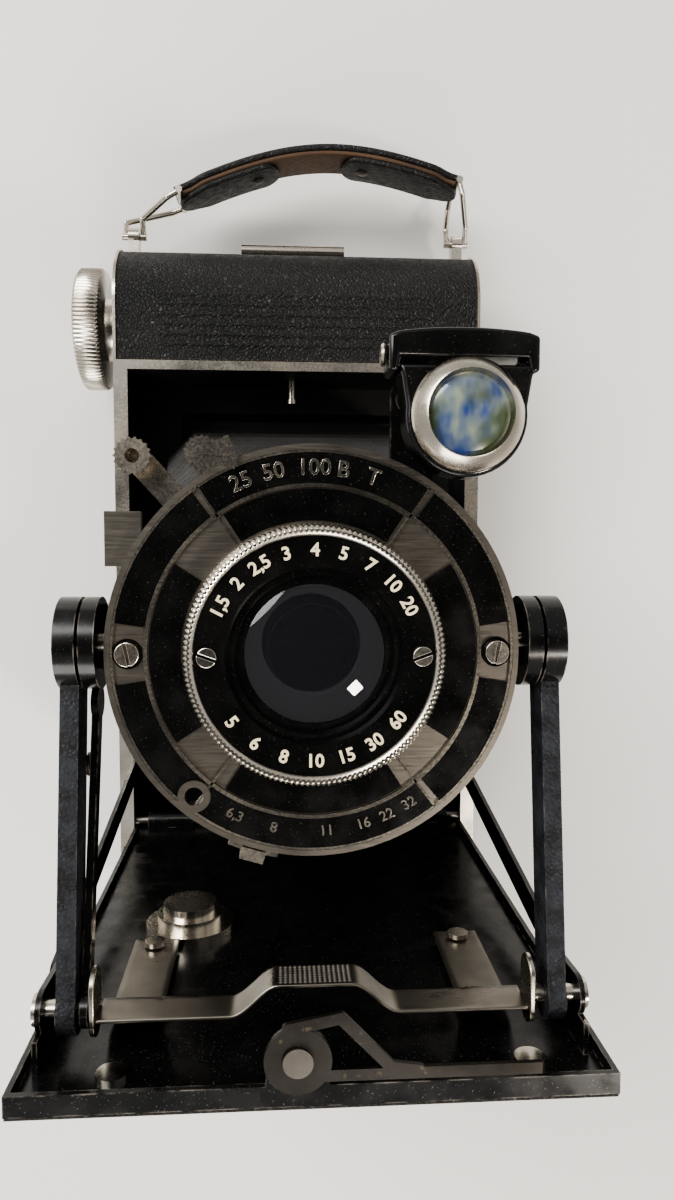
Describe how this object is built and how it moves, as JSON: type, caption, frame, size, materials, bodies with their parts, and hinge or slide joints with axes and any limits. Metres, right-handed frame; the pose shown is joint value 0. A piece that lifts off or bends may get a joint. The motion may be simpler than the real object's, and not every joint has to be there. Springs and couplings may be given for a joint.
{
  "type": "folding camera",
  "caption": "Self-erecting folding roll-film camera, open, with round nickel-and-enamel shutter face, swivelling finder, struts, drop bed and strap handle.",
  "frame": {"origin": "lens axis at the outer face of the back, on which the open camera lies", "axes": "+Z out along the lens axis, +Y towards the handle end, +X to the right as seen from in front of the lens"},
  "size_m": [0.0906, 0.1867, 0.1314],
  "materials": {
    "leather": "fine black grained leather",
    "bellows_leather": "matte pleated leather",
    "black_enamel": "gloss black enamel",
    "crinkle_paint": "charcoal crinkle paint",
    "black_metal": "matte black paint",
    "face_enamel": "gloss black enamel fields",
    "nickel": "polished nickel, lightly worn",
    "brushed_nickel": "brushed nickel",
    "worn_steel": "dull steel",
    "spool_paint": "black painted tin",
    "cell_black": "satin black with cream figures",
    "lens_glass": "uncoated glass",
    "finder_glass": "glass over a mirror",
    "red_window": "dark red celluloid"
  },
  "bodies": {
    "body": {"body_shell": "black_metal", "end_leather_top": "leather", "end_leather_bottom": "leather", "side_leathers": "leather", "side_rails": "nickel", "opening_trim": "nickel", "film_frame": "black_metal", "bed_hinge_pin": "worn_steel", "spool_pins": "worn_steel", "knob_bearing": "nickel", "handle_lugs": "nickel", "back_hinge_pin": "worn_steel", "bellows": "bellows_leather"},
    "upper_roller": {"roller_upper": "worn_steel"},
    "lower_roller": {"roller_lower": "worn_steel"},
    "winder": {"winding_knob": "nickel", "winding_shaft": "worn_steel", "take_up_spool": "spool_paint"},
    "feed": {"feed_spool": "spool_paint"},
    "catch": {"bed_catch": "nickel"},
    "back": {"back_cover": "black_metal", "back_leather": "leather", "pressure_plate": "black_metal", "red_window": "red_window"},
    "window_cover": {"window_slide": "black_metal"},
    "latch": {"back_latch": "nickel"},
    "handle": {"wire_loop_left": "nickel", "wire_loop_right": "nickel", "handle_strap": "leather"},
    "bed": {"bed_plate": "black_enamel", "bed_leather": "leather", "bed_lugs": "black_enamel", "strut_pins": "nickel", "brace_pins": "nickel", "tripod_bush": "nickel", "bed_rivets": "nickel", "leg_rivet": "nickel"},
    "bar": {"release_bar": "brushed_nickel"},
    "leg": {"support_leg": "worn_steel"},
    "struts": {"strut_left": "crinkle_paint", "strut_right": "crinkle_paint", "strut_caps": "black_enamel", "inner_link": "black_enamel"},
    "braces": {"brace_left": "black_enamel", "brace_right": "black_enamel"},
    "standard": {"standard_plate": "black_enamel", "standard_pins": "nickel", "shutter_case": "black_metal", "shutter_blades": "worn_steel", "front_plate": "brushed_nickel", "plate_enamel": "face_enamel", "cable_socket": "nickel"},
    "release": {"release_lever": "nickel"},
    "speed": {"speed_pointer": "nickel"},
    "aperture": {"aperture_pointer": "nickel"},
    "focus": {"focus_ring": "nickel", "front_cell": "cell_black", "lens_glass": "lens_glass"},
    "finder": {"finder_housing": "black_enamel", "finder_glass": "finder_glass"}
  },
  "joints": [
    {"name": "bed_fold", "type": "hinge", "parent": "body", "child": "bed", "pos_m": [0, -0.0498, 0.0314], "axis": [-1, 0, 0], "range_deg": [0, 90], "deforming": ["bellows"]},
    {"name": "strut_fold", "type": "hinge", "parent": "bed", "child": "struts", "pos_m": [0, -0.0448, 0.12], "axis": [-1, 0, 0], "range_deg": [0, 78.5]},
    {"name": "standard_tilt", "type": "hinge", "parent": "struts", "child": "standard", "pos_m": [0, 0.001, 0.1135], "axis": [-1, 0, 0], "range_deg": [-168.5, 0]},
    {"name": "brace_fold", "type": "hinge", "parent": "bed", "child": "braces", "pos_m": [0, -0.0455, 0.11], "axis": [-1, 0, 0], "range_deg": [0, 9]},
    {"name": "winding", "type": "hinge", "parent": "body", "child": "winder", "pos_m": [0, 0.0624, 0.017], "axis": [-1, 0, 0], "continuous": true},
    {"name": "feed_turn", "type": "hinge", "parent": "body", "child": "feed", "pos_m": [0, -0.066, 0.017], "axis": [-1, 0, 0], "continuous": true},
    {"name": "upper_roller_turn", "type": "hinge", "parent": "body", "child": "upper_roller", "pos_m": [0, 0.0471, 0.0062], "axis": [1, 0, 0], "continuous": true},
    {"name": "lower_roller_turn", "type": "hinge", "parent": "body", "child": "lower_roller", "pos_m": [0, -0.0471, 0.0062], "axis": [1, 0, 0], "continuous": true},
    {"name": "catch_slide", "type": "slide", "parent": "body", "child": "catch", "axis": [0, 1, 0], "range_m": [0, 0.0018], "stiffness_N_per_m": 200},
    {"name": "back_open", "type": "hinge", "parent": "body", "child": "back", "pos_m": [0, -0.0803, 0.00815], "axis": [1, 0, 0], "range_deg": [-100, 0]},
    {"name": "window_slide_move", "type": "slide", "parent": "back", "child": "window_cover", "axis": [1, 0, 0], "range_m": [0, 0.009]},
    {"name": "latch_slide", "type": "slide", "parent": "body", "child": "latch", "axis": [1, 0, 0], "range_m": [-0.003, 0]},
    {"name": "handle_swing", "type": "hinge", "parent": "body", "child": "handle", "pos_m": [0, 0.0844, 0.015], "axis": [1, 0, 0], "range_deg": [0, 80]},
    {"name": "bar_press", "type": "hinge", "parent": "bed", "child": "bar", "pos_m": [0, -0.0497, 0.094], "axis": [1, 0, 0], "range_deg": [0, 3], "stiffness_Nm_per_rad": 0.8},
    {"name": "leg_swing", "type": "hinge", "parent": "bed", "child": "leg", "pos_m": [-0.0024, -0.0461, 0.131], "axis": [0, 0, 1], "range_deg": [-90, 0]},
    {"name": "release_swing", "type": "hinge", "parent": "standard", "child": "release", "pos_m": [0, 0, 0.1133], "axis": [0, 0, 1], "range_deg": [0, 3.5], "stiffness_Nm_per_rad": 0.3},
    {"name": "speed_turn", "type": "hinge", "parent": "standard", "child": "speed", "pos_m": [0, 0, 0.115], "axis": [0, 0, 1], "range_deg": [-42, 0]},
    {"name": "aperture_turn", "type": "hinge", "parent": "standard", "child": "aperture", "pos_m": [0, 0, 0.115], "axis": [0, 0, 1], "range_deg": [-9, 50]},
    {"name": "focus_turn", "type": "hinge", "parent": "standard", "child": "focus", "pos_m": [0, 0, 0.118], "axis": [0, 0, 1], "range_deg": [-270, 0]},
    {"name": "finder_swivel", "type": "hinge", "parent": "standard", "child": "finder", "pos_m": [0.014, 0.034, 0.114], "axis": [0, 0, -1], "range_deg": [-90, 0]}
  ],
  "couplings": [
    {"joint": "strut_fold", "follows": "bed_fold", "ratio": 0.86578},
    {"joint": "standard_tilt", "follows": "bed_fold", "ratio": -1.8658},
    {"joint": "brace_fold", "follows": "bed_fold", "ratio": 0.095889},
    {"joint": "feed_turn", "follows": "winding", "ratio": 1},
    {"joint": "upper_roller_turn", "follows": "winding", "ratio": 3},
    {"joint": "lower_roller_turn", "follows": "winding", "ratio": 3}
  ]
}
